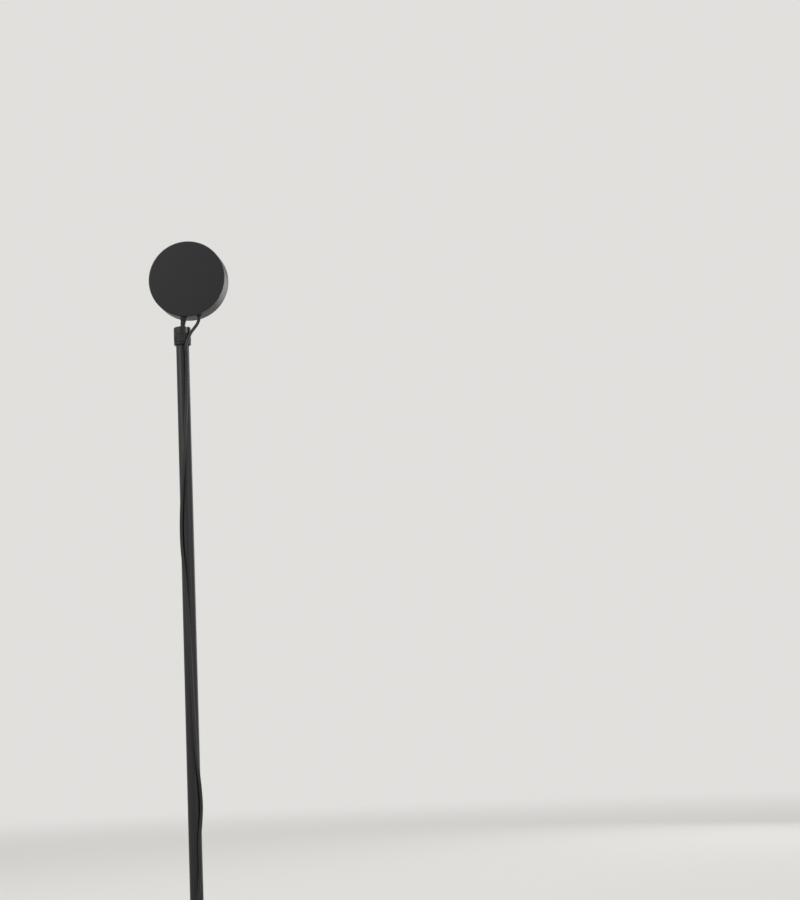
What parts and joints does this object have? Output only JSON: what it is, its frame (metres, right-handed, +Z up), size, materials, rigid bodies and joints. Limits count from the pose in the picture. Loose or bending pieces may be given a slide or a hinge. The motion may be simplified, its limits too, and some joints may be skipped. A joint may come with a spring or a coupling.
{
  "type": "sunset projection lamp",
  "caption": "Round black projector head on a ball joint, on a tall straight pole with a weighted round base, and a cord with inline switch and plug.",
  "frame": {"origin": "centre of the base's underside, on the table", "axes": "+Z up along the pole, +Y along the beam, +X to the right seen from behind the lamp"},
  "size_m": [0.235, 0.2131, 0.745],
  "materials": {
    "head_paint": "satin black powder coat on cast aluminium",
    "joint_paint": "satin black paint on steel",
    "pole_paint": "satin black powder coat on steel tube",
    "base_paint": "fine textured black powder coat on spun steel",
    "black_steel": "satin black steel rod",
    "black_oxide": "black oxide",
    "chrome_ball": "polished",
    "zinc_steel": "zinc plated",
    "bright_aluminium": "bare",
    "cast_iron": "rough cast",
    "clear_glass": "clear, polished",
    "sunset_glass": "orange-red coloured glass",
    "nylon": "natural nylon",
    "black_plastic": "matte",
    "black_rubber": "matte",
    "foot_foam": "closed-cell foam rubber",
    "cord_pvc": "soft black PVC",
    "white_board": "white solder mask",
    "green_board": "green solder mask",
    "led_phosphor": "silicone over phosphor",
    "switch_plastic": "fine moulded texture",
    "button_plastic": "smooth satin",
    "white_plastic": "moulded",
    "plug_steel": "nickel plated",
    "gold_plate": "gold plated"
  },
  "bodies": {
    "root": {"spring_washer": "zinc_steel", "socket": "joint_paint", "pole_collar": "joint_paint", "collar_screw": "black_oxide", "pole": "pole_paint", "tube_insert": "zinc_steel", "pole_ferrule": "pole_paint", "base_cover": "base_paint", "base_weight": "cast_iron", "base_bolt": "zinc_steel", "base_washer": "zinc_steel", "base_pad": "foot_foam", "cord_jumper": "cord_pvc", "cord_drop": "cord_pvc", "cord_coil": "cord_pvc", "cord_tail": "cord_pvc", "cord_end": "cord_pvc", "switch_bottom": "switch_plastic", "switch_top": "switch_plastic", "switch_board": "green_board", "switch_reliefs": "black_rubber", "switch_screws": "zinc_steel", "plug_grip": "switch_plastic", "plug_shell": "plug_steel", "plug_tongue": "white_plastic", "plug_contacts": "gold_plate"},
    "ball_cup": {"ball_liner": "nylon"},
    "head": {"head_shell": "head_paint", "front_ring": "head_paint", "projection_lens": "clear_glass", "lens_gasket": "black_rubber", "filter_disc": "sunset_glass", "filter_clip": "zinc_steel", "lens_tube": "black_plastic", "reflector": "bright_aluminium", "led_board": "white_board", "led_chip": "led_phosphor", "board_screws": "zinc_steel", "heat_spreader": "bright_aluminium", "driver_board": "green_board", "inner_lead": "cord_pvc", "cord_crimp": "zinc_steel", "cord_grommet": "black_rubber", "stem": "black_steel", "stem_nut": "zinc_steel", "ball": "chrome_ball"},
    "lock_ring": {"lock_ring": "black_oxide"},
    "switch_button": {"switch_button": "button_plastic"}
  },
  "joints": [
    {"name": "head_pan", "type": "hinge", "parent": "root", "child": "ball_cup", "pos_m": [0, 0, 0.65], "axis": [0, 0, 1], "range_deg": [-150, 150], "deforming": ["cord_jumper"]},
    {"name": "head_tilt", "type": "hinge", "parent": "ball_cup", "child": "head", "pos_m": [0, 0, 0.65], "axis": [1, 0, 0], "range_deg": [-30, 30], "deforming": ["cord_jumper"]},
    {"name": "lock_ring_turn", "type": "hinge", "parent": "root", "child": "lock_ring", "pos_m": [0, 0, 0.642], "axis": [0, 0, 1], "range_deg": [0, 120]},
    {"name": "button_press", "type": "slide", "parent": "root", "child": "switch_button", "axis": [0, 0, -1], "range_m": [0, 0.001], "stiffness_N_per_m": 400}
  ]
}
